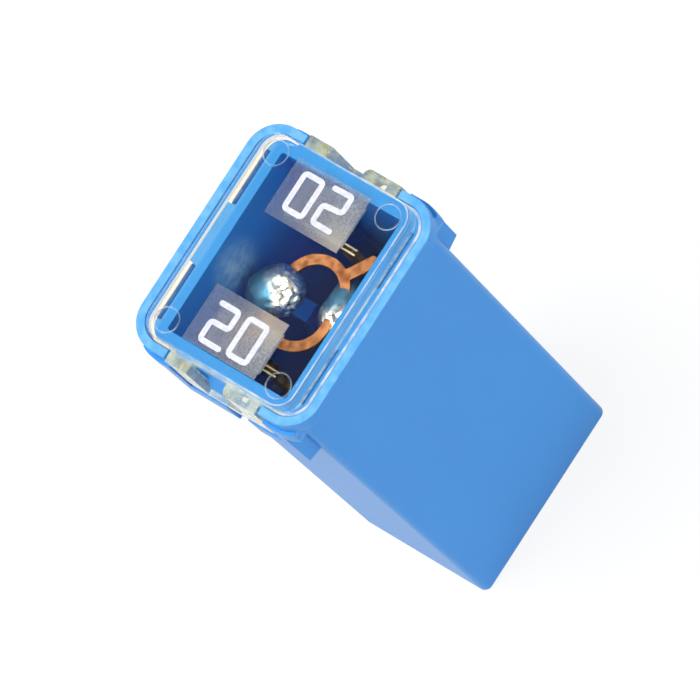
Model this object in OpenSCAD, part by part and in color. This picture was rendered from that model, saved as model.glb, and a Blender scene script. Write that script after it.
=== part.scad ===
// Female cartridge fuse: a blue housing on its terminal end, a clear latched cover,
// a ring-shaped link with two tin pellets and two receptacle terminals.
// Millimetres. +Z is up, the origin is the middle of the bottom face, the long side
// of the window runs along X and the plain broad face looks towards -Y.

/* [Overall] */
// Height from the bottom face to the top of the pads on the cover
overall_h = 36; // [34:0.1:40]
// How far the cover stands above the rim of the housing
cover_rise = 1; // [0.6:0.05:1.6]

/* [Housing body] */
// Room beside each terminal, across its sheet, for guide ribs and lance
side_room = 1.55; // [1.4:0.05:1.7]
// Room at each end of a terminal
end_room = 0.775; // [0.6:0.025:0.9]
// Thickness of the narrow walls at the top
wall_w = 0.75; // [0.65:0.05:0.9]
// Thickness of the broad walls at the top
wall_d = 0.65; // [0.6:0.05:0.8]
// How much narrower the body is at its bottom
body_taper_w = 0.35; // [0:0.05:0.6]
// How much shallower the body is at its bottom
body_taper_d = 0.35; // [0:0.05:0.5]
// Radius of the upright edges of the body
body_r = 0.5; // [0.2:0.05:0.8]
// Radius of the upright corners of the cavity
cavity_r = 0.15; // [0.1:0.05:0.5]
// Thickness of the floor
floor_t = 1.6; // [1.2:0.1:2.4]
// Thickness of the two ribs that part the chambers
divider_t = 1.2; // [0.8:0.05:1.6]
// How far these ribs stand out from the broad walls
divider_l = 1.8; // [1.4:0.05:2.4]
// Depth of their tops below the link
divider_drop = 5.9; // [5:0.1:9]

/* [Housing rim] */
// How far the rim stands out from the narrow walls
rim_out_w = 0.75; // [0.7:0.05:0.9]
// How far the rim stands out from the broad walls
rim_out_d = 1.425; // [1.3:0.025:1.5]
// Corner radius of the rim
rim_r = 2; // [1.5:0.05:2.4]
// Height of the rim's outer face
rim_h = 1.15; // [1:0.05:1.6]
// Thickness of the lip round the cover
lip_t = 0.52; // [0.4:0.02:0.6]
// Height of the lip above the ledge that carries the cover
lip_h = 0.6; // [0.4:0.05:0.8]

/* [Guard ribs beside the latches] */
// How far the ribs stand out past the rim at their top
rib_proud = 0.2; // [0.1:0.05:0.4]
// How much the ribs lean in towards their foot
rib_lean = 0.05; // [0:0.05:0.3]
// Height of the ribs below the rim
rib_h = 5.95; // [5.2:0.05:7]
// Rise of the slope under each foot
rib_slope = 0.35; // [0.3:0.05:0.9]
// Thickness of the upright ribs
rib_t = 0.95; // [0.7:0.05:1.1]
// Distance of the foot's inner end from the middle
foot_in = 0.75; // [0.6:0.05:1.6]
// Length of the collar at the top of each rib, past the rib and round the rim's corner
collar_l = 1.1; // [0.4:0.05:1.4]
// Height of the collar
collar_h = 1.2; // [0.8:0.05:1.5]

/* [Cover] */
// Distance from the rim's narrow sides to the window block
window_in_w = 0.695; // [0.6:0.005:0.8]
// Distance from the rim's broad sides to the window block
window_in_d = 1.14; // [1:0.01:1.2]
// Corner radius of the window block
window_r = 1.1; // [0.8:0.05:1.4]
// Thickness of the flange on the ledge
flange_t = 0.52; // [0.4:0.02:0.6]
// Gap between the flange and the lip
cover_gap = 0.05; // [0.03:0.01:0.1]
// Gap between the cover and the ledge
cover_seat = 0.02; // [0.01:0.01:0.05]
// Thickness of the tongues that reach through the ledge, flush with the window block
tongue_t = 0.24; // [0.2:0.01:0.26]
// Depth of the rear tongues below the ledge, out through the rim
tongue_h = 0.95; // [0.7:0.05:1.2]
// Depth of the front tongues below the ledge, in blind pockets
front_tongue_h = 0.3; // [0.2:0.01:0.34]
// Distance of a tongue's inner end from the middle
tongue_in = 2.05; // [1.6:0.05:2.6]
// Distance of a tongue's outer end from the window block's narrow sides
tongue_edge = 1.1; // [0.9:0.05:1.6]
// Gap round each tongue
tongue_gap = 0.04; // [0.03:0.01:0.05]
// Width of each frosted pad
pad_w = 3.55; // [3:0.05:3.9]
// Distance of a pad's ends from the window block's broad sides
pad_edge_d = 2.6; // [2:0.02:2.8]
// Distance of a pad's outer edge from the window block's narrow sides
pad_edge_w = 0.73; // [0.5:0.01:1]
// Height of the pads on both faces of the window
pad_t = 0.08; // [0.04:0.01:0.12]
// How far the pads on the lower face stand in from those on the upper face
pad_inset = 0.5; // [0.1:0.05:0.7]
// Distance of the ejector marks' middles from the window block's narrow sides
mark_edge_w = 1.13; // [1:0.01:1.4]
// Distance of the ejector marks' middles from the window block's broad sides
mark_edge_d = 1.19; // [1.1:0.01:1.4]
// Radius of the ejector marks
mark_r = 0.78; // [0.6:0.02:0.9]
// Width and depth of the groove round an ejector mark
mark_groove = 0.07; // [0.04:0.01:0.1]

/* [Latches of the cover] */
// Width of a latch
latch_w = 6.4; // [6:0.05:6.6]
// Height of a latch below the top of the lip
latch_h = 4.5; // [4.2:0.05:4.8]
// Thickness of a latch
latch_t = 0.6; // [0.4:0.05:0.65]
// How far a latch stands out past the rim
latch_proud = 0.12; // [0.05:0.01:0.2]
// Radius of the lower corners of a latch
latch_r = 1.4; // [0.8:0.05:1.8]
// Width of the rear leg of a latch
rear_leg = 1.55; // [1.2:0.05:1.8]
// Width of the front leg of a latch
front_leg = 2.4; // [2:0.05:2.6]
// Height of the bar between the legs
latch_bar = 0.9; // [0.7:0.05:1.1]
// Radius of the rounded top corner of the front leg
leg_r = 0.4; // [0.2:0.05:0.5]
// Gap between a latch and the housing round it
latch_gap = 0.15; // [0.08:0.01:0.2]
// Height of the catch that the bar sits under
catch_h = 1.65; // [1.2:0.05:1.9]
// Height of the catch's upright nose
catch_nose = 0.41; // [0.2:0.01:0.8]

/* [Terminals] */
// Distance of a blade's middle from the middle of the fuse
blade_x = 3.55; // [3.45:0.01:3.6]
// Thickness of the sheet metal
sheet_t = 0.4; // [0.35:0.01:0.45]
// Open gap between plate and beads, for a 0.8 mm blade
blade_gap = 0.65; // [0.55:0.01:0.75]
// Width of a terminal
terminal_w = 6.9; // [6.5:0.05:7.2]
// Outer radius of the rolled wings
wing_r = 0.85; // [0.75:0.01:0.9]
// Radius of the contact beads
bead_r = 0.3; // [0.25:0.01:0.35]
// Distance between the two rows of beads
bead_pitch = 2.6; // [2.2:0.05:3]
// Height of the wings
wing_h = 8.6; // [7:0.1:9.5]
// Height of the plate above the floor
plate_h = 20.4; // [18:0.1:22]
// Height of the shoulders above the plate
shoulder_h = 3.2; // [2:0.1:4]
// Distance of a shoulder's inner edge from the middle
shoulder_in = 1.65; // [1.5:0.05:1.85]
// Width of a shoulder
shoulder_w = 1.65; // [1.4:0.05:1.7]
// Length of the retaining lance
lance_h = 2.8; // [2:0.1:3.4]
// Width of the retaining lance
lance_w = 1.6; // [1.2:0.05:2]
// How far the lance springs out of the plate
lance_out = 0.7; // [0.5:0.05:0.9]
// Height of the lance's tip above the floor
lance_at = 11.6; // [10.5:0.1:13]
// Thickness of the shelf under the lance, besides the sheet's
lance_shelf = 1; // [0.6:0.1:1.6]
// Gap between the terminals and the housing
seat_gap = 0.05; // [0.03:0.01:0.1]

/* [Housing details round the terminals] */
// Width of the blade slots in the floor
slot_w = 1.1; // [1:0.05:1.2]
// How much shorter the blade slots are than the terminals are wide
slot_in = 0.2; // [0:0.05:0.4]
// Widening of the slots at the bottom face
slot_lead = 0.45; // [0.2:0.05:0.6]
// Thickness of the guide ribs
guide_t = 0.8; // [0.6:0.05:1]
// Distance between the middles of two guide ribs
guide_pitch = 4.8; // [4:0.1:5.4]
// Height of the outer guide ribs above the floor
guide_h = 18; // [14:0.5:20]

/* [Link] */
// Depth of the link below the top of the cover
link_drop = 5.9; // [5.6:0.05:6.5]
// Sideways place of the ring's middle
ring_x = -0.28; // [-0.35:0.01:0.35]
// Thickness of the link
link_t = 0.25; // [0.2:0.01:0.35]
// Width of the strip in the ring
strip_w = 0.62; // [0.5:0.02:0.74]
// Width of the ring along X
ring_w = 5.9; // [5.4:0.05:6.1]
// Depth of the ring along Y
ring_d = 4.3; // [4.1:0.05:4.6]
// Angle at which a tail leaves the ring, from the X axis
tail_turn = 36; // [30:1:50]
// Width of the tails that run from the ring to the terminals
tail_w = 0.7; // [0.6:0.05:0.75]
// Distance of a tail's outer end from the middle along Y
tail_y = 2.25; // [2.25:0.05:2.5]
// Length that the folded ends of the tails lie on the shoulders
weld_h = 1.7; // [1.2:0.1:2.4]

/* [Tin pellets] */
// Radius of the pellets seen from above
pellet_r = 1.56; // [1.2:0.02:1.6]
// Height of the pellets
pellet_h = 2.1; // [2:0.05:2.3]
// Sideways place of the rear pellet
rear_pellet_x = -0.45; // [-0.6:0.01:0.4]
// Sideways place of the front pellet
front_pellet_x = 0.22; // [-0.4:0.01:0.6]
// How far the middle of the front pellet hangs outside the strip's middle
front_out = 0.33; // [0:0.01:0.5]
// How far the middle of the front pellet hangs below the strip's middle
front_sag = 0.65; // [0:0.01:0.75]

/* [Hidden] */
$fn = 48;
overlap = 0.2;
beyond = 1;
skin = 0.01;

plate_in = blade_x + blade_gap / 2;
plate_out = plate_in + sheet_t;
cavity_w = 2 * (plate_out + side_room);
cavity_d = terminal_w + 2 * end_room;
body_w = cavity_w + 2 * wall_w;
body_d = cavity_d + 2 * wall_d;
rim_w = body_w + 2 * rim_out_w;
rim_d = body_d + 2 * rim_out_d;
slot_d = terminal_w - slot_in;

rim_top = overall_h - cover_rise;
rim_bottom = rim_top - rim_h;
ledge_z = rim_top - lip_h;
window_top = overall_h - pad_t;
window_under = ledge_z + cover_seat;
window_w = rim_w - 2 * window_in_w;
window_d = rim_d - 2 * window_in_d;
pad_out = window_w / 2 - pad_edge_w;
pad_half = window_d / 2 - pad_edge_d;
mark_x = window_w / 2 - mark_edge_w;
mark_y = window_d / 2 - mark_edge_d;
flange_w = rim_w - 2 * (lip_t + cover_gap);
flange_d = rim_d - 2 * (lip_t + cover_gap);
flange_r = rim_r - lip_t - cover_gap;
tongue_out = window_w / 2 - tongue_edge;
tongue_y = (window_d - tongue_t) / 2;
latch_out = rim_w / 2 + latch_proud;
latch_in = latch_out - latch_t;
latch_bottom = rim_top - latch_h;
notch_w = latch_w + 2 * latch_gap;
notch_in = latch_in - latch_gap / 2;
gap_rear = latch_w / 2 - rear_leg;
gap_front = -latch_w / 2 + front_leg;
catch_bottom = latch_bottom + latch_bar + latch_gap;
catch_out = latch_out - latch_t / 2;
rib_in = notch_w / 2;
rib_out = rib_in + rib_t;
rib_bottom = rim_bottom - rib_h;
foot_top = latch_bottom - latch_gap;
rib_x_top = rim_w / 2 + rib_proud;
rib_root = body_w / 2 - overlap - body_taper_w / 2;
terminal_z = floor_t + seat_gap;
plate_top = terminal_z + plate_h;
shoulder_top = plate_top + shoulder_h;
wing_top = terminal_z + wing_h;
wing_far = plate_out - 2 * wing_r;
lance_tip = floor_t + lance_at;
link_z = overall_h - link_drop;
link_top = link_z + link_t;
ring_end = ring_d / 2;
ring_run = ring_w / 2 - ring_end;
ring_mid = ring_end - strip_w / 2;
tail_run = ring_run + ring_mid * cos(tail_turn);
tail_start = ring_mid * sin(tail_turn);
pocket_bottom = ledge_z - front_tongue_h - tongue_gap;
divider_top = link_z - divider_drop;

// Flat outline with four round corners
module rounded_rect(w, d, r) {
    square([w - 2 * r, d], center = true);
    square([w, d - 2 * r], center = true);
    for (sx = [-1, 1], sy = [-1, 1])
        translate([sx * (w / 2 - r), sy * (d / 2 - r)]) circle(r = r);
}

// Upright block with round corners between two heights
module rounded_block(w, d, r, z0, z1) {
    translate([0, 0, z0]) linear_extrude(z1 - z0) rounded_rect(w, d, r);
}

// Box given by its lowest and highest corners
module span(a, b) {
    translate(a) cube([b[0] - a[0], b[1] - a[1], b[2] - a[2]]);
}

// Outline in the XZ plane, pulled along Y from y0 to y1
module along_y(y0, y1) {
    translate([0, y1, 0]) rotate([90, 0, 0]) linear_extrude(y1 - y0) children();
}

// Outline in the YZ plane, pulled along X from x0 to x1
module along_x(x0, x1) {
    translate([x0, 0, 0]) rotate([90, 0, 90]) linear_extrude(x1 - x0) children();
}

// Child and its mirror image across the YZ plane
module both_sides() {
    for (m = [0, 1]) mirror([m, 0, 0]) children();
}

// Child and its mirror image across the XZ plane
module both_ends() {
    for (m = [0, 1]) mirror([0, m, 0]) children();
}

// Tapered outside of the body
module body_outside() {
    hull() {
        rounded_block(body_w - body_taper_w, body_d - body_taper_d, body_r, 0, skin);
        rounded_block(body_w, body_d, body_r, rim_bottom - skin, rim_bottom);
    }
}

// Ledge and lip that take the cover
module rim() {
    difference() {
        rounded_block(rim_w, rim_d, rim_r, rim_bottom, rim_top);
        rounded_block(rim_w - 2 * lip_t, rim_d - 2 * lip_t, rim_r - lip_t, ledge_z, rim_top + beyond);
    }
}

// Outline of a guard rib seen from the front: it leans in and its foot is sloped
module rib_outline(z0, z1) {
    lean = rib_lean / rib_h;
    x0 = rib_x_top - lean * (rim_bottom - z0);
    x1 = rib_x_top - lean * (rim_bottom - z1);
    slope = z0 > rib_bottom ? 0 : rib_slope;
    polygon([[rib_root, z0], [x0, z0 + slope], [x1, z1], [rib_root, z1]]);
}

// Guard rib at the rear of the right-hand latch, with its foot and collar
module guard_rib() {
    along_y(rib_in, rib_out) rib_outline(rib_bottom, rim_bottom);
    along_y(foot_in, rib_out) rib_outline(rib_bottom, foot_top);
    intersection() {
        rounded_block(2 * rib_x_top, rim_d + 2 * rib_proud, rim_r + rib_proud,
                      rim_bottom - collar_h, rim_bottom);
        span([rib_root, rib_in, rib_bottom], [rim_w, rib_out + collar_l, rim_bottom]);
    }
}

// Wedge above the bar of a latch
module catch() {
    along_y(gap_front + latch_gap, gap_rear - latch_gap)
        polygon([[rib_root, catch_bottom], [catch_out, catch_bottom],
                 [catch_out, catch_bottom + catch_nose], [body_w / 2, catch_bottom + catch_h],
                 [rib_root, catch_bottom + catch_h]]);
}

// Blade slot through the floor, wider at the bottom face
module blade_slot() {
    half = slot_w / 2;
    mouth = half + slot_lead;
    translate([blade_x, 0, 0]) along_y(-slot_d / 2, slot_d / 2)
        polygon([[-mouth, -beyond], [-mouth, 0], [-half, slot_lead], [-half, floor_t + beyond],
                 [half, floor_t + beyond], [half, slot_lead], [mouth, 0], [mouth, -beyond]]);
}

// Ribs and shelf that hold the right-hand terminal
module terminal_seat() {
    wall = cavity_w / 2 + overlap;
    both_ends() {
        span([plate_out + seat_gap, (guide_pitch - guide_t) / 2, floor_t - overlap],
             [wall, (guide_pitch + guide_t) / 2, floor_t + guide_h]);
        span([divider_t / 2 - overlap, (guide_pitch - guide_t) / 2, floor_t - overlap],
             [wing_far - seat_gap, (guide_pitch + guide_t) / 2, wing_top]);
    }
    span([plate_out + lance_out / 2, -lance_w / 2 - seat_gap, lance_tip - sheet_t - lance_shelf],
         [wall, lance_w / 2 + seat_gap, lance_tip - seat_gap]);
}

// Right-hand tongue at the rear between two heights, wider all round by the room
module tongue(room, z0, z1) {
    span([tongue_in - room, tongue_y - tongue_t / 2 - room, z0],
         [tongue_out + room, tongue_y + tongue_t / 2 + room, z1]);
}

module housing() {
    color("dodgerblue") {
        difference() {
            union() {
                body_outside();
                rim();
                both_sides() {
                    both_ends() guard_rib();
                    catch();
                }
            }
            rounded_block(cavity_w, cavity_d, cavity_r, floor_t, rim_top + beyond);
            both_sides() {
                blade_slot();
                span([notch_in, -notch_w / 2, rim_bottom - beyond], [rim_w, notch_w / 2, rim_top + beyond]);
                tongue(tongue_gap, rim_bottom - beyond, rim_top + beyond);
                mirror([0, 1, 0]) tongue(tongue_gap, pocket_bottom, rim_top + beyond);
            }
        }
        both_ends() span([-divider_t / 2, cavity_d / 2 - divider_l, floor_t - overlap],
                         [divider_t / 2, cavity_d / 2 + overlap, divider_top]);
        both_sides() terminal_seat();
    }
}

// Right-hand latch: two legs that hang from the cover and a bar between their feet
module latch() {
    difference() {
        union() {
            along_x(latch_in, latch_out) {
                translate([-latch_w / 2, latch_bottom + latch_r]) square([latch_w, latch_h - latch_r]);
                translate([-latch_w / 2 + latch_r, latch_bottom]) square([latch_w - 2 * latch_r, latch_r]);
                for (s = [-1, 1])
                    translate([s * (latch_w / 2 - latch_r), latch_bottom + latch_r]) circle(r = latch_r);
            }
            span([window_w / 2 - overlap, -latch_w / 2, window_under], [latch_out, latch_w / 2, rim_top]);
        }
        span([window_w / 2, gap_front, latch_bottom + latch_bar],
             [latch_out + beyond, gap_rear, rim_top + beyond]);
        translate([latch_out - leg_r, gap_front - leg_r, latch_bottom + latch_bar]) difference() {
            cube([leg_r + beyond, leg_r + beyond, latch_h]);
            cylinder(r = leg_r, h = latch_h);
        }
    }
}

// Round witness mark of an ejector pin
module ejector_mark() {
    translate([mark_x, mark_y, window_top - mark_groove]) difference() {
        cylinder(r = mark_r, h = beyond);
        cylinder(r = mark_r - mark_groove, h = beyond);
    }
}

// Right-hand frosted pad between two heights
module pad(inset, z0, z1) {
    span([pad_out - pad_w + inset, inset - pad_half, z0], [pad_out - inset, pad_half - inset, z1]);
}

module clear_cover() {
    color("lightyellow", 0.4) {
        difference() {
            union() {
                rounded_block(flange_w, flange_d, flange_r, window_under, window_under + flange_t);
                rounded_block(window_w, window_d, window_r, window_under, window_top);
                both_sides() {
                    latch();
                    tongue(0, ledge_z - tongue_h, window_under + overlap);
                    mirror([0, 1, 0]) tongue(0, ledge_z - front_tongue_h, window_under + overlap);
                }
            }
            both_sides() both_ends() ejector_mark();
        }
        both_sides() {
            pad(0, window_top - overlap, overall_h);
            pad(pad_inset, window_under - pad_t, window_under + overlap);
        }
    }
}

// Flat outline of the ring: two half rounds joined by straight runs
module ring_outline(inset) {
    r = ring_end - inset;
    square([2 * ring_run, 2 * r], center = true);
    for (s = [-1, 1]) translate([s * ring_run, 0]) circle(r = r);
}

// Tail from the ring, whose middle is moved by shift, to the right-hand terminal,
// with its end folded down on the shoulder
module link_tail(shift) {
    from = [shift + tail_run, -tail_start];
    run = [plate_in - link_t / 2, -tail_y] - from;
    turn = atan2(run[1], run[0]);
    intersection() {
        translate([from[0], from[1], link_z]) rotate([0, 0, turn])
            translate([0, -tail_w / 2, 0]) cube([norm(run) + tail_w, tail_w, link_t]);
        span([0, -ring_d, link_z], [plate_in, 0, link_top]);
    }
    span([plate_in - link_t, -tail_y - tail_w / 2, shoulder_top - weld_h],
         [plate_in, -tail_y + tail_w / 2, link_top]);
}

module fuse_link() {
    color("peru") {
        translate([ring_x, 0, link_z]) linear_extrude(link_t) difference() {
            ring_outline(0);
            ring_outline(strip_w);
        }
        link_tail(ring_x);
        rotate([0, 0, 180]) link_tail(-ring_x);
    }
}

// Pellet of tin with a round side, which has flowed round the strip
module pellet(middle) {
    bulge = pellet_h / 2;
    difference() {
        translate(middle) {
            rotate_extrude() intersection() {
                translate([pellet_r - bulge, 0]) circle(r = bulge);
                translate([0, -bulge]) square([pellet_r, pellet_h]);
            }
            translate([0, 0, -bulge]) cylinder(r = pellet_r - bulge + skin, h = pellet_h);
        }
        fuse_link();
    }
}

module rear_tin_pellet() {
    color("silver") pellet([rear_pellet_x, ring_mid, link_z + link_t / 2]);
}

module front_tin_pellet() {
    color("silver") pellet([front_pellet_x, -ring_mid - front_out, link_z + link_t / 2 - front_sag]);
}

// Cross-section of the receptacle: flat plate, rolled wings and contact beads
module receptacle_outline() {
    wing_y = terminal_w / 2 - wing_r;
    arm_from = [wing_far + sheet_t / 2, wing_y];
    arm_to = [plate_in - blade_gap - bead_r, bead_pitch / 2];
    arm = arm_to - arm_from;
    translate([plate_in, -wing_y]) square([sheet_t, 2 * wing_y]);
    for (m = [0, 1]) mirror([0, m]) {
        translate([plate_out - wing_r, wing_y]) intersection() {
            difference() {
                circle(r = wing_r);
                circle(r = wing_r - sheet_t);
            }
            translate([-wing_r, 0]) square([2 * wing_r, wing_r]);
        }
        translate(arm_from) rotate(atan2(arm[1], arm[0]))
            translate([0, -sheet_t / 2]) square([norm(arm), sheet_t]);
        translate(arm_from) circle(r = sheet_t / 2);
        translate(arm_to) circle(r = bead_r);
    }
}

// Right-hand terminal: plate with two shoulders, wings with beads, and a lance
module terminal() {
    plate_w = terminal_w - 2 * wing_r;
    translate([0, 0, terminal_z]) linear_extrude(wing_h) receptacle_outline();
    span([plate_in, -plate_w / 2, terminal_z], [plate_out, plate_w / 2, plate_top]);
    both_ends() span([plate_in, shoulder_in, plate_top - 2 * shoulder_h],
                     [plate_out, shoulder_in + shoulder_w, shoulder_top]);
    along_y(-lance_w / 2, lance_w / 2)
        polygon([[plate_in, lance_tip + lance_h], [plate_out, lance_tip + lance_h],
                 [plate_out + lance_out, lance_tip], [plate_out + lance_out - sheet_t, lance_tip]]);
}

module right_terminal() {
    color("khaki") terminal();
}

module left_terminal() {
    color("khaki") rotate([0, 0, 180]) terminal();
}

housing();
clear_cover();
fuse_link();
rear_tin_pellet();
front_tin_pellet();
left_terminal();
right_terminal();
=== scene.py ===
"""Looks, light and camera for the female cartridge fuse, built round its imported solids."""

import logging
import math
from dataclasses import dataclass
from enum import Enum

import bmesh
import bpy
from mathutils import Matrix, Vector, noise


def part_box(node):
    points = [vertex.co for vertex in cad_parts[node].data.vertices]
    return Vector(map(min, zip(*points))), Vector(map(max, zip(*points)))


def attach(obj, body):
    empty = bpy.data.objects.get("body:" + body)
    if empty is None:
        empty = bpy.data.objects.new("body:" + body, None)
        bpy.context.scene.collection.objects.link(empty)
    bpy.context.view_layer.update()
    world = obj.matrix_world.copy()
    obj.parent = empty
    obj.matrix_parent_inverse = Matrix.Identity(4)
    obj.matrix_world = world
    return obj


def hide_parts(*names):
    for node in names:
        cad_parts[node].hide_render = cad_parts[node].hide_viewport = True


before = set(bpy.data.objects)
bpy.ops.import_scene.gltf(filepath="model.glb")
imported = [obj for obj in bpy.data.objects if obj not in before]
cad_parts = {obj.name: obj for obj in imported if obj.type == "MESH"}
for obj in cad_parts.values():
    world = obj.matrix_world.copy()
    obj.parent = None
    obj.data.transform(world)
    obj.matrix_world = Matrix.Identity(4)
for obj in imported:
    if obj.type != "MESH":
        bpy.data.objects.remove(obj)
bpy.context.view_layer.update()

LOG = logging.getLogger("fuse")
MM = 0.001
MERGE_M = 1e-7
EDGE_SAMPLES = 6

Colour = tuple[float, float, float, float]
Point = tuple[float, float, float]
# Two limits. In a ramp, the effect starts at the first one and is full at the second.
Span = tuple[float, float]


class Ray(Enum):
    """Kinds of ray that a shader can tell apart."""

    CAMERA = "Is Camera Ray"
    GLOSSY = "Is Glossy Ray"
    THROUGH = "Is Transmission Ray"
    SHADOW = "Is Shadow Ray"
    DIFFUSE = "Is Diffuse Ray"


def linear(red: int, green: int, blue: int) -> Colour:
    """Turns a display colour into the linear one that shaders take.

    Args:
        red: Red from 0 to 255.
        green: Green from 0 to 255.
        blue: Blue from 0 to 255.

    Returns:
        The linear colour with an alpha of 1.
    """
    parts = []
    for level in (red, green, blue):
        share = level / 255
        parts.append(share / 12.92 if share <= 0.04045 else ((share + 0.055) / 1.055) ** 2.4)
    return (parts[0], parts[1], parts[2], 1.0)


class Wire:
    """One output socket, so that shader maths reads as plain expressions."""

    def __init__(self, bench: "Bench", socket: bpy.types.NodeSocket) -> None:
        """Wraps an output socket of a node that the bench has made."""
        self.bench = bench
        self.socket = socket

    def _maths(self, operation: str, first: object, second: object) -> "Wire":
        """Result of a Math node on two values or wires."""
        return self.bench.make("ShaderNodeMath", {"operation": operation}, {0: first, 1: second})

    def __add__(self, other: object) -> "Wire":
        """Sum."""
        return self._maths("ADD", self, other)

    __radd__ = __add__

    def __mul__(self, other: object) -> "Wire":
        """Product."""
        return self._maths("MULTIPLY", self, other)

    __rmul__ = __mul__

    def __sub__(self, other: object) -> "Wire":
        """Difference."""
        return self._maths("SUBTRACT", self, other)

    def __rsub__(self, other: object) -> "Wire":
        """Difference from a plain number."""
        return self._maths("SUBTRACT", other, self)

    def __pow__(self, other: object) -> "Wire":
        """Power."""
        return self._maths("POWER", self, other)

    def __abs__(self) -> "Wire":
        """Size without its sign."""
        return self._maths("ABSOLUTE", self, 0.0)

    def over(self, edge: object) -> "Wire":
        """1 where the value is above edge, else 0."""
        return self._maths("GREATER_THAN", self, edge)

    def under(self, edge: object) -> "Wire":
        """1 where the value is below edge, else 0."""
        return self._maths("LESS_THAN", self, edge)

    def within(self, span: Span) -> "Wire":
        """1 where the value lies between two limits, else 0."""
        return self.over(span[0]) * self.under(span[1])

    def largest(self, other: object) -> "Wire":
        """The larger of two values."""
        return self._maths("MAXIMUM", self, other)

    def smallest(self, other: object) -> "Wire":
        """The smaller of two values."""
        return self._maths("MINIMUM", self, other)

    def ramp(self, low: float, high: float, start: float = 0.0, end: float = 1.0) -> "Wire":
        """Maps low..high smoothly to start..end and holds the ends.

        Args:
            low: Value that gives start.
            high: Value that gives end.
            start: Result at low.
            end: Result at high.

        Returns:
            The mapped value.
        """
        return self.bench.make(
            "ShaderNodeMapRange",
            {"interpolation_type": "SMOOTHSTEP", "clamp": True},
            {0: self, 1: low, 2: high, 3: start, 4: end},
        )


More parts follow.
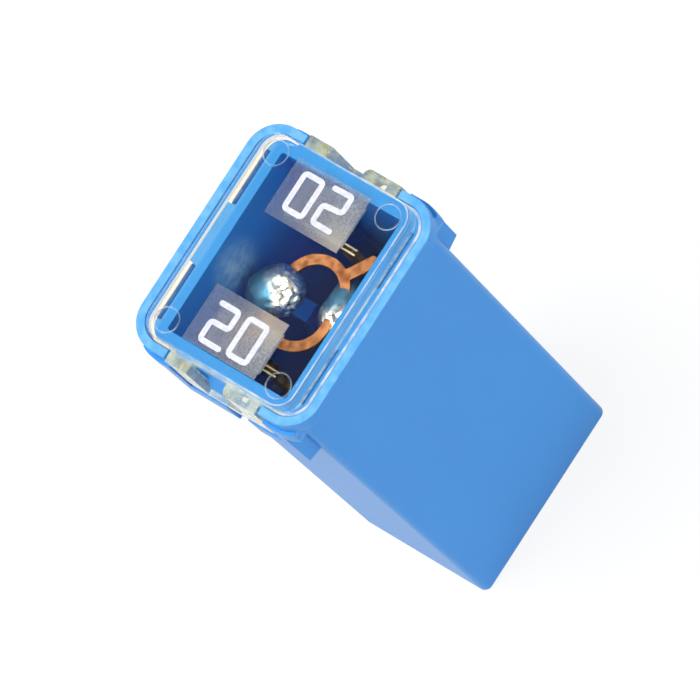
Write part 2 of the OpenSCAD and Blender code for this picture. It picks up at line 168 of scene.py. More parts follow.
class Bench:
    """Makes the nodes of one material or of the world."""

    def __init__(self, owner: bpy.types.Material | bpy.types.World) -> None:
        """Empties the node tree of its owner.

        Args:
            owner: The material or world whose nodes are made.
        """
        owner.use_nodes = True
        self.tree = owner.node_tree
        self.tree.nodes.clear()

    def make(
        self,
        kind: str,
        settings: dict[str, object] | None = None,
        inputs: dict[int | str, object] | None = None,
        output: int | str = 0,
    ) -> Wire:
        """Adds any node.

        Args:
            kind: The node's type.
            settings: Properties, set before the sockets.
            inputs: A value or a wire for each socket, by number or name.
            output: The output that is handed back.

        Returns:
            The wire from that output.
        """
        node = self.tree.nodes.new(kind)
        for name, value in (settings or {}).items():
            setattr(node, name, value)
        for name, value in (inputs or {}).items():
            socket = node.inputs[name]
            if isinstance(value, Wire):
                self.tree.links.new(value.socket, socket)
            else:
                socket.default_value = value
        return Wire(self, node.outputs[output])

    def place(self) -> Wire:
        """The point in the part's own frame, in metres."""
        return self.make("ShaderNodeTexCoord", {}, {}, "Object")

    def axes(self) -> tuple[Wire, Wire, Wire]:
        """The point's x, y and z in millimetres.

        Returns:
            Three wires.
        """
        point = self.make(
            "ShaderNodeVectorMath", {"operation": "SCALE"}, {0: self.place(), "Scale": 1 / MM}
        )
        split = self.make("ShaderNodeSeparateXYZ", {}, {0: point})
        outputs = split.socket.node.outputs
        return Wire(self, outputs[0]), Wire(self, outputs[1]), Wire(self, outputs[2])

    def grain(self, size_mm: float, detail: float = 3.0, stretch: Point = (1, 1, 1)) -> Wire:
        """Cloudy noise.

        Args:
            size_mm: Rough size of one cloud in millimetres.
            detail: Octaves of finer noise.
            stretch: How much finer it is along each axis.

        Returns:
            A value from 0 to 1.
        """
        point = self.make(
            "ShaderNodeMapping", {"vector_type": "POINT"}, {0: self.place(), "Scale": stretch}
        )
        return self.make(
            "ShaderNodeTexNoise",
            {"noise_dimensions": "3D"},
            {"Vector": point, "Scale": 1 / (size_mm * MM), "Detail": detail},
            "Fac",
        )

    def rim_distance(self, x: Wire, y: Wire, outline: "Outline") -> Wire:
        """Distance of a point from an upright rounded outline, negative inside.

        Args:
            x: The point's x in millimetres.
            y: The point's y in millimetres.
            outline: The outline.

        Returns:
            The distance in millimetres.
        """
        over_x = abs(x) - (outline.half_x - outline.radius)
        over_y = abs(y) - (outline.half_y - outline.radius)
        outside = (over_x.largest(0.0) ** 2 + over_y.largest(0.0) ** 2) ** 0.5
        return outside + over_x.largest(over_y).smallest(0.0) - outline.radius

    def soft_edges(self, radius_mm: float) -> Wire:
        """A normal that rounds sharp edges for the light, by a radius in millimetres."""
        return self.make("ShaderNodeBevel", {"samples": EDGE_SAMPLES}, {"Radius": radius_mm * MM})

    def blend(self, share: object, first: object, second: object) -> Wire:
        """Mixes two colours.

        Args:
            share: Share of the second colour.
            first: First colour or wire.
            second: Second colour or wire.

        Returns:
            The mixed colour.
        """
        return self.make(
            "ShaderNodeMix", {"data_type": "RGBA"}, {0: share, 6: first, 7: second}, output=2
        )

    def bump(self, height: Wire, depth_mm: float, under: Wire | None = None) -> Wire:
        """Turns a height into a normal.

        Args:
            height: The height, from 0 to 1.
            depth_mm: Real height of the relief.
            under: A normal to build on.

        Returns:
            The normal.
        """
        inputs = {"Strength": 1.0, "Distance": depth_mm * MM, "Height": height}
        if under is not None:
            inputs["Normal"] = under
        return self.make("ShaderNodeBump", {}, inputs)

    def principled(self, inputs: dict[str, object]) -> Wire:
        """The general shader, with a value or a wire for each socket that is used."""
        return self.make("ShaderNodeBsdfPrincipled", {}, inputs)

    def mix(self, share: object, first: Wire, second: Wire) -> Wire:
        """Two shaders mixed, with the given share of the second one."""
        return self.make("ShaderNodeMixShader", {}, {0: share, 1: first, 2: second})

    def end(self, surface: Wire) -> None:
        """Connects the finished surface.

        Args:
            surface: The shader.
        """
        kind = "ShaderNodeOutputMaterial"
        if isinstance(self.tree.id_data, bpy.types.World):
            kind = "ShaderNodeOutputWorld"
        node = self.tree.nodes.new(kind)
        self.tree.links.new(surface.socket, node.inputs["Surface"])

    def ray(self, *kinds: Ray) -> Wire:
        """1 for rays of the given kinds, else 0.

        Args:
            kinds: The kinds of ray.

        Returns:
            The wire.
        """
        total = None
        for kind in kinds:
            share = self.make("ShaderNodeLightPath", {}, {}, kind.value)
            total = share if total is None else total.largest(share)
        return total


def new_material(name: str) -> tuple[bpy.types.Material, Bench]:
    """Starts a finish of the given name: the material and the maker of its nodes."""
    material = bpy.data.materials.new(name)
    return material, Bench(material)


@dataclass(frozen=True)
class Outline:
    """Rounded rectangle round the upright axis, in millimetres."""

    half_x: float
    half_y: float
    radius: float


@dataclass(frozen=True)
class Band:
    """Thin soft band at a distance outwards from an outline, in millimetres."""

    out: float
    fade: Span

    def on(self, distance: Wire) -> Wire:
        """1 in the band's middle and 0 beside it, from the distance to the outline."""
        return abs(distance - self.out).ramp(*self.fade)


@dataclass(frozen=True)
class BluePlastic:
    """Satin blue moulding with a fine grain, faint flow marks, edge wear and a painted lip
    highlight.

    The cavity's inside is painted a fuller, darker blue as shade, its rear wall has a pale painted
    reflection, and painted light brightens the rear ledge. Places and sizes are in millimetres.
    """

    body: Colour = linear(47, 147, 229)
    deep: Colour = linear(43, 144, 226)
    # Colour of wear, of the painted highlight on the lip's top and of the painted light on the rear
    # ledge.
    wear_and_highlight: Colour = linear(128, 192, 236)
    # Painted shade: the fuller, darker blue of the cavity's inside.
    cavity_shade: Colour = linear(22, 138, 232)
    # Painted reflection: pale colour on the cavity's rear wall.
    painted_sheen: Colour = linear(190, 236, 255)
    cavity: Outline = Outline(5.9, 4.3, 0.2)
    lip: Outline = Outline(6.8, 5.8, 1.45)
    bottom: Outline = Outline(6.4, 4.7, 0.5)
    corner_x: Span = (6.15, 6.6)
    corner_y: Span = (4.45, 4.9)
    body_top: float = 33.8
    # Heights over which the painted highlight on the lip's top fades in.
    lip_highlight_z: Span = (34.86, 35.0)
    foot_rise: Span = (0.35, 0.0)
    foot_edge: Span = (-0.3, -0.05)
    ledge: Span = (34.3, 34.5)
    # Where painted light brightens the rear ledge behind the window.
    lit_ledge_y: Span = (4.6, 4.95)
    lip_gap: float = 0.1
    # Strength of the painted light on the rear ledge.
    lit_ledge_share: float = 0.35
    rear_wall_y: float = 4.15
    # Place, shape, reach and strength of the painted reflection on the cavity's rear wall.
    sheen_x: float = -0.68
    sheen_z: float = 31.5
    sheen_squash: float = 0.7
    sheen_reach: Span = (2.2, 0.1)
    painted_sheen_share: float = 0.85
    wear_and_highlight_share: float = 0.35
    roughness: float = 0.36
    gloss: float = 0.25
    index: float = 1.46
    glow_share: float = 0.08
    glow_radius: Point = (0.4, 0.8, 1.2)
    glow_mm: float = 0.6
    grain_mm: float = 0.22
    grain_depth_mm: float = 0.004
    speckle_mm: float = 0.09
    scuff_mm: float = 0.7
    flow_mm: float = 5.0
    flow_depth_mm: float = 0.008
    edge_mm: float = 0.09

    def _wear_and_lip_highlight(self, bench: Bench, x: Wire, y: Wire, z: Wire) -> Wire:
        """Marks edge wear, a few scuffs and the painted highlight on the lip's top.

        Args:
            bench: The maker of nodes.
            x: The point's x in millimetres.
            y: The point's y in millimetres.
            z: The point's z in millimetres.

        Returns:
            How much wear or painted highlight the point gets.
        """
        scuffs = bench.grain(self.scuff_mm, 5.0, (1, 1, 6)).ramp(0.66, 0.74)
        broken = bench.grain(0.5, 4.0)
        side = abs(x).ramp(*self.corner_x) * abs(y).ramp(*self.corner_y)
        body_edge = side * z.under(self.body_top) * broken.ramp(0.45, 0.62)
        # Painted highlight: the lip's top is lightened, broken up like wear.
        lip_top_highlight = z.ramp(*self.lip_highlight_z) * bench.grain(0.6, 4.0).ramp(0.3, 0.7, 0.8, 1.9)
        foot = z.ramp(*self.foot_rise) * broken.ramp(0.4, 0.6)
        foot = foot * bench.rim_distance(x, y, self.bottom).ramp(*self.foot_edge)
        return body_edge.largest(lip_top_highlight).largest(foot).largest(scuffs * 0.35)

    def _colour(self, bench: Bench, x: Wire, y: Wire, z: Wire, clouds: Wire) -> Wire:
        """Colours the moulding before wear, with painted cavity shade, ledge light and wall
        reflection.

        Args:
            bench: The maker of nodes.
            x: The point's x in millimetres.
            y: The point's y in millimetres.
            z: The point's z in millimetres.
            clouds: Large noise that follows the flow.

        Returns:
            The colour.
        """
        colour = bench.blend(clouds.ramp(0.3, 0.7), self.deep, self.body)
        # Painted shade: the cavity's inside gets the fuller, darker blue.
        inside = bench.rim_distance(x, y, self.cavity).under(0.0) * z.under(self.ledge[0])
        colour = bench.blend(inside, colour, self.cavity_shade)
        # Painted light: the rear ledge behind the window is made lighter.
        lit_rear_ledge = z.within(self.ledge) * y.ramp(*self.lit_ledge_y)
        lit_rear_ledge = lit_rear_ledge * bench.rim_distance(x, y, self.lip).under(self.lip_gap)
        colour = bench.blend(lit_rear_ledge * self.lit_ledge_share, colour, self.wear_and_highlight)
        # Painted reflection: a pale spot on the cavity's rear wall, broken up by noise.
        across = (x - self.sheen_x) ** 2
        along = ((z - self.sheen_z) * self.sheen_squash) ** 2
        painted_sheen_patch = ((across + along) ** 0.5).ramp(*self.sheen_reach)
        painted_sheen_patch = painted_sheen_patch * bench.grain(0.6, 4.0).ramp(0.3, 0.7, 0.4, 1.0)
        painted_sheen_patch = painted_sheen_patch * inside * y.over(self.rear_wall_y)
        return bench.blend(painted_sheen_patch * self.painted_sheen_share, colour, self.painted_sheen)

    def build(self) -> bpy.types.Material:
        """Makes the material.

        Returns:
            The blue plastic.
        """
        material, bench = new_material("blue_plastic")
        x, y, z = bench.axes()
        clouds = bench.grain(self.flow_mm, 2.0, (1, 1, 0.35))
        fine = bench.grain(self.grain_mm, 3.0)
        speckle = bench.grain(self.speckle_mm, 2.0)
        wear_and_lip_highlight = self._wear_and_lip_highlight(bench, x, y, z)
        colour = self._colour(bench, x, y, z, clouds)
        # Blends in both the wear and the painted highlight on the lip's top.
        colour = bench.blend(wear_and_lip_highlight * self.wear_and_highlight_share, colour, self.wear_and_highlight)
        rough = (clouds - 0.5) * 0.08 + (speckle - 0.5) * 0.1 + self.roughness + wear_and_lip_highlight * 0.12
        normal = bench.bump(fine, self.grain_depth_mm, bench.soft_edges(self.edge_mm))
        normal = bench.bump(clouds, self.flow_depth_mm, normal)
        surface = bench.principled(
            {
                "Base Color": colour,
                "Roughness": rough,
                "IOR": self.index,
                "Specular IOR Level": self.gloss,
                "Subsurface Weight": self.glow_share,
                "Subsurface Radius": self.glow_radius,
                "Subsurface Scale": self.glow_mm * MM,
                "Normal": normal,
            }
        )
        bench.end(surface)
        return material


@dataclass(frozen=True)
class ClearPlastic:
    """Clear moulding, faintly yellow, with two frosted pads, a milky foot, marks and latches, and
    painted highlight lines along the flange and the window block's top edge.

    Shadow and diffuse rays pass straight through it, so that the inside is lit as it is through
    real clear plastic. The window block's rear wall and the flange between the rear tongues carry
    a painted creamy glow where they are seen from inside, the front wall and rear tongues are
    painted a lit blue with a blue glow on the front wall, and the pads are painted warmer where
    the copper link lies under them. Places and sizes are in millimetres.
    """

    tint: Colour = linear(252, 251, 244)
    shade: Colour = linear(250, 250, 246)
    # Haze colour, also used for the painted highlight lines along the flange and the block's top
    # edge.
    haze_and_highlight: Colour = linear(228, 231, 236)
    # Painted glow colour of the block's rear wall and the flange between the rear tongues, seen
    # from inside.
    painted_glow_colour: Colour = linear(236, 216, 192)
    # Painted lit blue of the front wall and rear tongues, and the front wall's glow colour.
    sky: Colour = linear(96, 172, 226)
    amber: Colour = linear(222, 222, 178)
    frosting: Colour = linear(170, 172, 176)
    pits: Colour = linear(92, 102, 118)
    # Painted warm light of the copper link showing through the frosted pads.
    painted_link_light: Colour = linear(188, 180, 160)
    dark: Colour = (0.0, 0.0, 0.0, 1.0)
    index: float = 1.32
    roughness: float = 0.03
    frost: float = 0.34
    frost_mm: float = 0.07
    frost_depth_mm: float = 0.006
    flow_mm: float = 1.4
    flow_depth_mm: float = 0.008
    haze_roughness: float = 0.35
    # Strength of the painted glow.
    light: float = 0.62
    flange: Outline = Outline(6.755, 5.73, 1.43)
    block: Outline = Outline(6.63, 5.16, 1.1)
    pad_x: Span = (2.35, 5.9)
    pad_half: float = 2.56
    pad_top: float = 35.95
    pad_under: float = 34.4
    # Thin bands: painted highlight lines on the flange and block top, haze on the foot and marks.
    rim_highlight_band: Band = Band(-0.06, (0.15, 0.07))
    crest_highlight_band: Band = Band(-0.05, (0.07, 0.02))
    foot_band: Band = Band(0.05, (0.09, 0.04))
    mark_band: Band = Band(0.745, (0.06, 0.02))
    mark_x: float = 5.5
    mark_y: float = 3.97
    mark_from: float = 35.7
    leg_x: float = 6.72
    flange_from: float = 34.6
    flange_rear: Span = (34.3, 34.5)
    flange_band: Span = (-0.04, 0.22)
    notch_in: float = 1.95
    wall_y: float = 3.6
    wall_in: float = 0.02
    wall_half: float = 0.06
    wall_from: float = 34.95
    wall_top: float = 35.85
    painted_glow_top: float = 35.42
    foot_z: Span = (34.8, 35.1)
    tongue_y: float = 4.8
    tongue_out: float = 5.6
    fade_y: Span = (3.5, -3.0)
    pad_fade_y: Span = (3.0, -2.6)
    link_x: Span = (4.6, 2.5)
    link_y: Span = (1.0, -2.4)

    def build(self) -> bpy.types.Material:
        """Makes the material.

        Returns:
            The clear plastic.
        """
        material, bench = new_material("clear_plastic")
        x, y, z = bench.axes()
        faces = z.over(self.pad_top).largest(z.under(self.pad_under))
        pad = abs(x).within(self.pad_x) * abs(y).under(self.pad_half) * faces
        clouds = bench.grain(2.2, 3.0)
        flow = bench.grain(self.flow_mm, 2.0, (0.5, 1, 1))
        etched = bench.grain(self.frost_mm, 3.0)
        hair = bench.grain(0.5, 6.0, (0.3, 5, 1)).ramp(0.62, 0.72)
        polished = clouds * 0.03 + self.roughness + hair * 0.06
        relief = bench.bump(flow, self.flow_depth_mm)
        glass = bench.principled(
            {
                "Base Color": self.tint,
                "Roughness": polished.largest(pad * (etched * 0.16 + self.frost)),
                "IOR": self.index,
                "Transmission Weight": 1.0,
                "Normal": bench.bump(etched * pad, self.frost_depth_mm, relief),
            }
        )
        milky, cloudy = self._milk(bench, x, y, z, pad, etched)
        open_air = bench.make("ShaderNodeBsdfTransparent", {}, {"Color": self.shade})
        let_in = bench.ray(Ray.SHADOW, Ray.DIFFUSE)
        bench.end(bench.mix(let_in, bench.mix(cloudy, glass, milky), open_air))
        return material

    def _milk(
        self, bench: Bench, x: Wire, y: Wire, z: Wire, pad: Wire, etched: Wire
    ) -> tuple[Wire, Wire]:
        """Makes haze on pads, marks and latches, plus painted edge highlights, and painted glow and
        lit blue on walls and tongues.

        Args:
            bench: The maker of nodes.
            x: The point's x in millimetres.
            y: The point's y in millimetres.
            z: The point's z in millimetres.
            pad: 1 on the frosted pads.
            etched: Fine noise.

        Returns:
            The haze's shader and its share.
        """
        bubbles = bench.grain(0.8, 3.0).ramp(0.35, 0.65)
        streaks = bench.grain(0.9, 4.0, (0.25, 1, 3)).ramp(0.35, 0.7)
        rear = y.over(self.wall_y)
        from_inside = bench.make("ShaderNodeNewGeometry", {}, {}, "Backfacing")

        # Edges, each a thin band along an outline: painted highlight lines on the flange and block
        # top, haze on the foot.
        at_block = bench.rim_distance(x, y, self.block)
        # Painted highlight lines along the flange's edge and the block's top edge.
        rim_highlight = self.rim_highlight_band.on(bench.rim_distance(x, y, self.flange)) * z.over(self.flange_from)
        crest_highlight = self.crest_highlight_band.on(at_block) * z.over(self.wall_top)
        foot = self.foot_band.on(at_block) * z.within(self.foot_z)

        # Walls of the window block, the flange between the rear tongues, and the tongues, with
        # painted glow or lit blue.
        wall = abs(at_block + self.wall_in).under(self.wall_half) * z.over(self.wall_from)
        # Painted glow: the block's rear wall, seen from inside.
        glowing_rear_wall = wall * z.under(self.painted_glow_top) * rear * from_inside
        # Painted lit blue and glow: the block's front wall.
        lit_front_wall = wall * y.under(-self.wall_y) * z.under(self.wall_top)
        # Painted glow: the flange between the rear tongues, seen from inside.
        glowing_flange = at_block.within(self.flange_band) * z.within(self.flange_rear) * rear
        glowing_flange = glowing_flange * abs(x).over(self.notch_in) * from_inside
        # Painted lit blue: the rear tongues.
        lit_tongue = y.over(self.tongue_y) * z.under(self.flange_rear[0])
        lit_tongue = lit_tongue * abs(x).under(self.tongue_out)

        # Round marks and latch legs.
        from_mark = ((abs(x) - self.mark_x) ** 2 + (abs(y) - self.mark_y) ** 2) ** 0.5
        ring = self.mark_band.on(from_mark) * z.over(self.mark_from)
        legs = abs(x).over(self.leg_x)

        to_front = y.ramp(*self.fade_y, 0.25, 1.0)
        share = pad * (etched * 0.3 + y.ramp(*self.pad_fade_y, 0.04, 0.38))
        for part in (
            rim_highlight * to_front * (bubbles * 0.35 + 0.3),
            crest_highlight * to_front * (bubbles * 0.3 + 0.3),
            glowing_rear_wall.largest(glowing_flange) * 0.92,
            foot * (bubbles * 0.4 + 0.1),
            ring * (bubbles * 0.2 + 0.12),
            legs * (bubbles * 0.3 + 0.12),
            lit_tongue * 0.55,
            lit_front_wall * (streaks * 0.3 + 0.55),
        ):
            share = share.largest(part)

        speckled = bench.blend(bench.grain(0.13, 2.0).ramp(0.38, 0.62), self.pits, self.frosting)
        # Painted warm light where the copper link lies under the frosted pads.
        near_link = abs(x).ramp(*self.link_x) * y.ramp(*self.link_y)
        colour = bench.blend(pad, self.haze_and_highlight, bench.blend(near_link * 0.75, speckled, self.painted_link_light))
        colour = bench.blend(legs.largest(foot), colour, self.amber)
        # Painted lit blue on the front wall and rear tongues.
        colour = bench.blend(lit_front_wall.largest(lit_tongue), colour, self.sky)
        # Painted creamy glow colour on the flange between the rear tongues.
        colour = bench.blend(glowing_flange, colour, self.painted_glow_colour)
        # Painted glow: creamy on the rear wall and flange, blue on the front wall.
        light = bench.blend(glowing_rear_wall.largest(glowing_flange * 0.3), self.dark, self.painted_glow_colour)
        light = bench.blend(lit_front_wall * 0.6, light, self.sky)
        haze = bench.principled(
            {
                "Base Color": colour,
                "Roughness": self.haze_roughness,
                "Emission Color": light,
                "Emission Strength": self.light,
            }
        )
        return haze, share


@dataclass(frozen=True)
class Metal:
    """Stamped or cast metal with stains, rolling marks and a fine relief."""

    name: str
    bright: Colour
    stained: Colour
    roughness: float
    stain_mm: float = 1.2
    marks: Point = (1, 1, 8)
    marks_mm: float = 0.35
    depth_mm: float = 0.004
    edge_mm: float = 0.06

    def colour(self, bench: Bench, stains: Wire) -> Wire:
        """The bare metal's colour, where stains is 1 on a stain and 0 beside it."""
        return bench.blend(stains, self.bright, self.stained)

    def build(self) -> bpy.types.Material:
        """Makes the material.

        Returns:
            The metal.
        """
        material, bench = new_material(self.name)
        stains = bench.grain(self.stain_mm, 4.0).ramp(0.38, 0.68)
        marks = bench.grain(self.marks_mm, 4.0, self.marks)
        surface = bench.principled(
            {
                "Base Color": self.colour(bench, stains),
                "Roughness": marks * 0.14 + stains * 0.16 + (self.roughness - 0.1),
                "Metallic": 1.0,
                "Normal": bench.bump(marks, self.depth_mm, bench.soft_edges(self.edge_mm)),
            }
        )
        bench.end(surface)
        return material


@dataclass(frozen=True)
class CutSheet(Metal):
    """Sheet whose cut top edges carry painted glints along both borders and a dark middle."""

    middle_x: float = 4.075
    dark_to_glint: Span = (0.08, 0.14)
    ragged_mm: float = 0.08
    cut_z: float = 25.2
    # Painted glints along the cut edges, and the dark middle between them.
    painted_glint: Colour = linear(252, 238, 190)
    dark_middle: Colour = linear(58, 48, 30)

    def colour(self, bench: Bench, stains: Wire) -> Wire:
        """Colours the sheet and paints glints on its cut edges.

        Args:
            bench: The maker of nodes.
            stains: 1 where the sheet is stained.

        Returns:
            The colour.
        """
        x, _, z = bench.axes()
        ragged = (bench.grain(0.25, 3.0) - 0.5) * self.ragged_mm
        from_middle = abs(abs(x) - self.middle_x) + ragged
        # Painted glints along both borders of the cut top edge, dark between them.
        edge = bench.blend(from_middle.ramp(*self.dark_to_glint), self.dark_middle, self.painted_glint)
        return bench.blend(z.over(self.cut_z), super().colour(bench, stains), edge)


@dataclass(frozen=True)
class Tin:
    """Solder-like tin: smooth with a painted blue reflection where it has run, bright and wrinkled
    elsewhere.

    The lump's middle is in millimetres, and run is the direction in which the tin has flowed.
    """

    middle: Vector
    run: Vector
    bright: Colour = linear(246, 244, 234)
    khaki: Colour = linear(160, 154, 126)
    # Painted reflection of the blue housing on the smooth side.
    painted_blue_reflection: Colour = linear(72, 120, 148)
    roughness: float = 0.27
    smooth_from: Span = (-0.35, 0.55)
    wander_mm: float = 2.0
    wrinkle_mm: float = 0.3
    wrinkle_depth_mm: float = 0.09

    def build(self, name: str) -> bpy.types.Material:
        """Makes the material.

        Args:
            name: Its name.

        Returns:
            The tin.
        """
        material, bench = new_material(name)
        x, y, z = bench.axes()
        along = (x - self.middle.x) * self.run.x + (y - self.middle.y) * self.run.y
        wander = (bench.grain(1.1, 3.0) - 0.5) * self.wander_mm
        smooth = (along + wander).ramp(*self.smooth_from)
        patches = bench.grain(0.45, 4.0).ramp(0.52, 0.76)
        wrinkles = bench.grain(self.wrinkle_mm, 4.0) * smooth.ramp(0.0, 1.0, 1.0, 0.12)
        colour = bench.blend(patches, self.bright, self.khaki)
        surface = bench.principled(
            {
                # Painted reflection: the smooth side is blended towards the housing's blue.
                "Base Color": bench.blend(smooth, colour, self.painted_blue_reflection),
                "Roughness": patches * 0.14 + self.roughness + smooth * 0.26,
                "Metallic": 1.0,
                "Normal": bench.bump(wrinkles, self.wrinkle_depth_mm),
            }
        )
        bench.end(surface)
        return material


@dataclass(frozen=True)
class WhitePrint:
    """Matt white hot-stamped print, a little uneven."""

    ink: Colour = linear(216, 217, 226)
    thin: Colour = linear(200, 203, 214)
    roughness: float = 0.5
    grain_mm: float = 0.06
    grain_depth_mm: float = 0.003

    def build(self) -> bpy.types.Material:
        """Makes the material.

        Returns:
            The print.
        """
        material, bench = new_material("white_print")
        patches = bench.grain(0.3, 4.0).ramp(0.4, 0.7)
        surface = bench.principled(
            {
                "Base Color": bench.blend(patches, self.ink, self.thin),
                "Roughness": patches * 0.15 + self.roughness,
                "Normal": bench.bump(bench.grain(self.grain_mm, 2.0), self.grain_depth_mm),
            }
        )
        bench.end(surface)
        return material


@dataclass(frozen=True)
class Paper:
    """Plain white table top that keeps the soft shadow.

    The camera, mirrors and clear plastic see only a share of the lit sheet, and the rest as an
    even white.
    """

    sheet: Colour = linear(226, 226, 227)
    seen_share: float = 0.2
    glow: float = 0.85

    def build(self) -> bpy.types.Material:
        """Makes the material.

        Returns:
            The table top.
        """
        material, bench = new_material("paper")
        paper = bench.make("ShaderNodeBsdfDiffuse", {}, {"Color": self.sheet, "Roughness": 0.0})
        glow = bench.make("ShaderNodeEmission", {}, {"Strength": self.glow / (1 - self.seen_share)})
        share = bench.ray(Ray.CAMERA, Ray.GLOSSY, Ray.THROUGH) * (1 - self.seen_share)
        bench.end(bench.mix(share, paper, glow))
        return material


def add_object(name: str, data: bpy.types.ID) -> bpy.types.Object:
    """Puts a new object into the scene.

    Args:
        name: Its name.
        data: Its mesh, light or camera.

    Returns:
        The object, at the origin.
    """
    thing = bpy.data.objects.new(name, data)
    bpy.context.scene.collection.objects.link(thing)
    return thing


def close_mesh(
    mesh: bmesh.types.BMesh, name: str, material: bpy.types.Material
) -> bpy.types.Object:
    """Turns a bmesh into an object with one finish.

    Args:
        mesh: The shape, in metres. It is freed.
        name: The object's name.
        material: Its finish.

    Returns:
        The new object, at the origin.
    """
    data = bpy.data.meshes.new(name)
    mesh.to_mesh(data)
    mesh.free()
    data.materials.append(material)
    return add_object(name, data)


def finish_piece(
    mesh: bmesh.types.BMesh, name: str, material: bpy.types.Material
) -> bpy.types.Object:
    """Turns a finished bmesh into a piece of the fuse.

    Args:
        mesh: The shape, in metres.
        name: The piece's name.
        material: Its finish.

    Returns:
        The new object, riding on the only body.
    """
    bmesh.ops.remove_doubles(mesh, verts=mesh.verts, dist=MERGE_M)
    bmesh.ops.recalc_face_normals(mesh, faces=mesh.faces)
    piece = close_mesh(mesh, name, material)
    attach(piece, "root")
    LOG.info("%s: %d faces", name, len(piece.data.polygons))
    return piece


def dress(node: str, material: bpy.types.Material) -> None:
    """Gives a solid its finish.

    Args:
        node: The solid's name.
        material: Its finish.
    """
    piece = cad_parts[node]
    piece.data.materials.clear()
    piece.data.materials.append(material)
    LOG.info("%s: dressed in %s", node, material.name)


@dataclass(frozen=True)
class Stroke:
    """One digit drawn as a line of even width, in millimetres."""

    name: str
    points: tuple[tuple[float, float], ...]
    closed: bool = False

    def rounded(self, radius: float, steps: int = 5) -> list[Vector]:
        """The line with its corners replaced by short curves.

        Args:
            radius: How far before a corner its curve starts.
            steps: Pieces in one curve.

        Returns:
            The points of the line.
        """
        points = [Vector(p) for p in self.points]
        count = len(points)
        line = []
        for i, corner in enumerate(points):
            if not self.closed and i in (0, count - 1):
                line.append(corner)
                continue
            start = corner + (points[i - 1] - corner).normalized() * radius
            end = corner + (points[(i + 1) % count] - corner).normalized() * radius
            for step in range(steps + 1):
                share = step / steps
                line.append(start.lerp(corner, share).lerp(corner.lerp(end, share), share))
        return line


@dataclass(frozen=True)
class Numerals:
    """Rating numbers on the two pads, in millimetres."""

    top: float = 36.0
    thick: float = 0.03
    width: float = 0.33
    corner: float = 0.22
    end_share: float = 0.45
    end_steps: int = 5
    digits: tuple[Stroke, ...] = (
        Stroke(
            "left_digit_2",
            (
                (-5.47, 0.1),
                (-5.47, 1.59),
                (-4.3, 1.59),
                (-4.28, 0.38),
                (-3.17, 0.38),
                (-3.17, 1.76),
            ),
        ),
        Stroke(
            "left_digit_0",
            ((-5.41, -0.34), (-3.11, -0.34), (-3.11, -1.61), (-5.41, -1.61)),
            closed=True,
        ),
        Stroke(
            "right_digit_0",
            ((3.09, 1.66), (5.34, 1.66), (5.34, 0.41), (3.09, 0.41)),
            closed=True,
        ),
        Stroke(
            "right_digit_2",
            (
                (3.18, -1.67),
                (3.18, -0.29),
                (4.29, -0.29),
                (4.4, -1.57),
                (5.45, -1.57),
                (5.4, -0.2),
            ),
        ),
    )

    def _borders(self, stroke: Stroke) -> tuple[list[Vector], list[Vector]]:
        """Points along both borders of a digit's line, with square ends.

        Args:
            stroke: The digit.

        Returns:
            The left and the right border.
        """
        line = stroke.rounded(self.corner)
        half = self.width / 2
        count = len(line)
        left, right = [], []
        for i, point in enumerate(line):
            before = line[i - 1] if i or stroke.closed else point
            after = line[(i + 1) % count] if i < count - 1 or stroke.closed else point
            way = (after - before).normalized()
            side = Vector((-way.y, way.x)) * half
            left.append(point + side)
            right.append(point - side)
        return left, right

    def _digit(self, stroke: Stroke, material: bpy.types.Material) -> None:
        """Builds one digit as a thin raised line and rounds its ends.

        Args:
            stroke: The digit.
            material: Its finish.
        """
        mesh = bmesh.new()
        height = self.top * MM
        chains = []
        for border in self._borders(stroke):
            verts = [mesh.verts.new((p.x * MM, p.y * MM, height)) for p in border]
            pairs = list(zip(verts, verts[1:]))
            if stroke.closed:
                pairs.append((verts[-1], verts[0]))
            chains += [mesh.edges.new(pair) for pair in pairs]
        bmesh.ops.bridge_loops(mesh, edges=chains)
        if not stroke.closed:
            ends = [v for v in mesh.verts if len(v.link_edges) == 2]
            bmesh.ops.bevel(
                mesh,
                geom=ends,
                offset=self.width * self.end_share * MM,
                segments=self.end_steps,
                profile=0.5,
                affect="VERTICES",
                material=-1,
            )
        made = bmesh.ops.extrude_face_region(mesh, geom=list(mesh.faces))["geom"]
        tops = [g for g in made if isinstance(g, bmesh.types.BMVert)]
        bmesh.ops.translate(mesh, vec=(0, 0, self.thick * MM), verts=tops)
        piece = finish_piece(mesh, stroke.name, material)

    def build(self, material: bpy.types.Material) -> None:
        """Builds all digits in the given finish."""
        for stroke in self.digits:
            self._digit(stroke, material)


@dataclass(frozen=True)
class Bumps:
    """One layer of noise on a lump: how close its bumps are, and how high."""

    closeness: float
    height: float

    def at(self, way: Vector, shift: Vector) -> float:
        """Height in a direction, as a share of the lump's half size, from a place in the noise."""
        return noise.noise(way * self.closeness + shift) * self.height


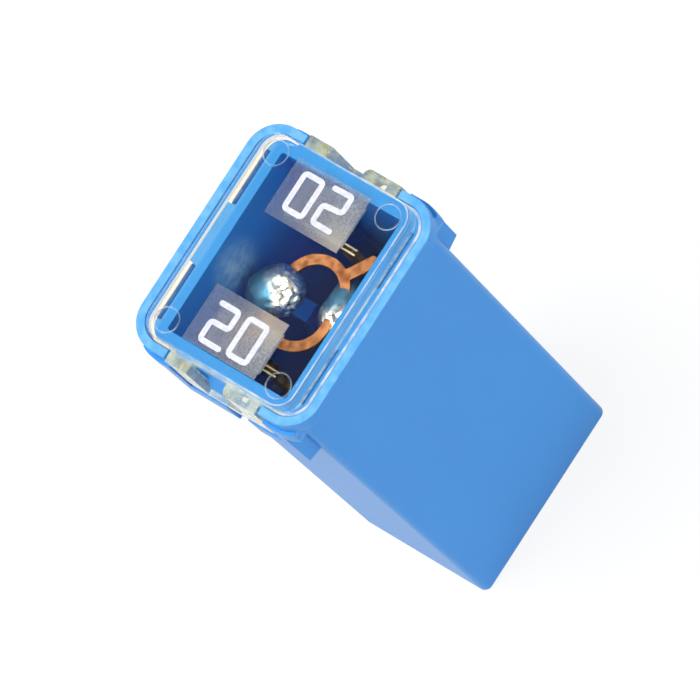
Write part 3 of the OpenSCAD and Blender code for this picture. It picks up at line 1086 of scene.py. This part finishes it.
@dataclass
class Pellets:
    """Lumps of tin that have flowed round the strip. The flows are in millimetres."""

    seed: float = 3.7
    seed_step: float = 9.1
    rear_flow: Point = (-0.2, 0.42, 0.0)
    front_flow: Point = (0.62, 0.3, 0.0)
    flow_power: float = 1.5
    squareness: float = 2.6
    fullness: float = 0.93
    rugged_middle: float = 0.6
    rugged_least: float = 0.15
    fineness: int = 5
    swell: Bumps = Bumps(1.3, 0.2)
    dents: Bumps = Bumps(3.1, 0.16)
    wrinkles: Bumps = Bumps(7.0, 0.08)

    def _size(self, way: Vector, run: Vector, seed: float) -> float:
        """Distance from a lump's middle to its skin, 1 on the solid's box.

        Args:
            way: Direction from the middle.
            run: Direction in which the tin has flowed.
            seed: Place in the noise.

        Returns:
            The distance, never past the box.
        """
        power = self.squareness
        squared = 1 / sum(abs(part) ** power for part in way) ** (1 / power)
        rugged = min(1.0, max(self.rugged_least, self.rugged_middle - way.dot(run)))
        lump = self.swell.at(way, Vector((seed, 0, 0)))
        lump += self.dents.at(way, Vector((0, seed, 0))) * rugged
        lump += self.wrinkles.at(way, Vector((0, 0, seed))) * rugged
        return min(1.0, squared * (self.fullness + lump))

    def _lump(self, name: str, seed: float, flow: Vector) -> None:
        """Builds one lump in place of its plain solid.

        Args:
            name: The solid's name.
            seed: Place in the noise, so that the two differ.
            flow: How far the tin has run to one side, in metres.
        """
        low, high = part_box(name)
        middle = (low + high) / 2
        half = (high - low) / 2
        run = flow.normalized()
        mesh = bmesh.new()
        bmesh.ops.create_icosphere(mesh, subdivisions=self.fineness, radius=1.0)
        for vert in mesh.verts:
            way = vert.co.normalized()
            size = self._size(way, run, seed)
            vert.co = Vector((way.x * half.x, way.y * half.y, way.z * half.z)) * size
            vert.co += flow * max(0.0, way.dot(run)) ** self.flow_power
        bmesh.ops.translate(mesh, vec=middle, verts=mesh.verts)
        material = Tin(middle / MM, run).build(name + "_finish")
        piece = finish_piece(mesh, name + "_lump", material)
        for polygon in piece.data.polygons:
            polygon.use_smooth = True
        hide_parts(name)

    def build(self) -> None:
        """Builds both lumps."""
        self._lump("rear_tin_pellet", self.seed, Vector(self.rear_flow) * MM)
        self._lump("front_tin_pellet", self.seed + self.seed_step, Vector(self.front_flow) * MM)


@dataclass(frozen=True)
class Lamp:
    """Soft square lamp. Its level is the brightness that it alone gives a white face."""

    name: str
    place: Point
    size: float
    level: float


@dataclass
class Studio:
    """Table top, soft light and the photograph's camera, in metres.

    The camera's place and axes were solved from edges and corners of the fuse.
    """

    floor_half: float = 3.0
    floor_gap: float = 0.00002
    sky: float = 0.5
    mirrored: float = 0.1
    white: Colour = (1.0, 1.0, 1.0, 1.0)
    focal_mm: float = 411.43
    film_mm: float = 36.0
    clip: Span = (0.01, 20.0)
    spot: Point = (-0.0409, -0.19948, 0.4232)
    right: Point = (0.54239416, -0.77247252, -0.330295)
    down: Point = (-0.83529769, -0.45377087, -0.3104348)
    ahead: Point = (0.0899241, 0.44427267, -0.89136718)
    target: Point = (0.0, 0.0, 0.02)
    lamps: tuple[Lamp, ...] = (
        Lamp("key_lamp", (-0.12, 0.1, 0.55), size=0.3, level=0.9),
        Lamp("front_lamp", (0.15, -0.6, 0.35), size=0.35, level=0.2),
    )

    def table(self, material: bpy.types.Material) -> None:
        """Lays the table top.

        Args:
            material: Its finish.
        """
        mesh = bmesh.new()
        bmesh.ops.create_grid(mesh, x_segments=1, y_segments=1, size=self.floor_half)
        bmesh.ops.translate(mesh, vec=(0.0, 0.0, -self.floor_gap), verts=mesh.verts)
        top = close_mesh(mesh, "table_top", material)

    def hang(self, lamp: Lamp) -> None:
        """Hangs one lamp so that it looks at the fuse.

        Args:
            lamp: The lamp.
        """
        data = bpy.data.lights.new(lamp.name, "AREA")
        data.shape = "SQUARE"
        data.size = lamp.size
        reach = Vector(lamp.place) - Vector(self.target)
        data.energy = lamp.level * math.pi**2 * reach.length_squared
        turn = reach.to_track_quat("Z", "Y").to_matrix()
        add_object(lamp.name, data).matrix_world = Matrix.Translation(lamp.place) @ turn.to_4x4()

    def surroundings(self) -> None:
        """Sets the even light from all round."""
        world = bpy.data.worlds.new("surroundings")
        bpy.context.scene.world = world
        bench = Bench(world)
        bright = bench.ray(Ray.CAMERA, Ray.THROUGH) * (1 - self.sky)
        strength = self.sky + bright - bench.ray(Ray.GLOSSY) * (self.sky - self.mirrored)
        inputs = {"Color": self.white, "Strength": strength}
        bench.end(bench.make("ShaderNodeBackground", {}, inputs))

    def camera(self) -> None:
        """Sets up the photograph's camera."""
        data = bpy.data.cameras.new("camera")
        data.lens = self.focal_mm
        data.sensor_width = self.film_mm
        data.clip_start, data.clip_end = self.clip
        turn = Matrix((self.right, [-v for v in self.down], [-v for v in self.ahead])).transposed()
        camera = add_object("camera", data)
        camera.matrix_world = Matrix.Translation(self.spot) @ turn.to_4x4()
        bpy.context.scene.camera = camera

    def build(self, material: bpy.types.Material) -> None:
        """Builds the whole studio.

        Args:
            material: The table top's finish.
        """
        self.table(material)
        self.surroundings()
        for lamp in self.lamps:
            self.hang(lamp)
        self.camera()


def main() -> None:
    """Builds the looks, light and camera."""
    logging.basicConfig(level=logging.INFO, format="%(name)s: %(message)s")
    bpy.context.scene.view_settings.view_transform = "Standard"
    blue = BluePlastic().build()
    clear = ClearPlastic().build()
    copper = Metal(
        name="copper",
        bright=linear(148, 99, 64),
        stained=linear(106, 62, 36),
        roughness=0.46,
        stain_mm=0.55,
    ).build()
    brass = CutSheet(
        name="terminal_brass",
        bright=linear(196, 168, 112),
        stained=linear(150, 126, 84),
        roughness=0.36,
    ).build()
    dress("housing", blue)
    dress("clear_cover", clear)
    dress("fuse_link", copper)
    dress("left_terminal", brass)
    dress("right_terminal", brass)
    Pellets().build()
    Numerals().build(WhitePrint().build())
    Studio().build(Paper().build())


if __name__ == "__main__":
    main()
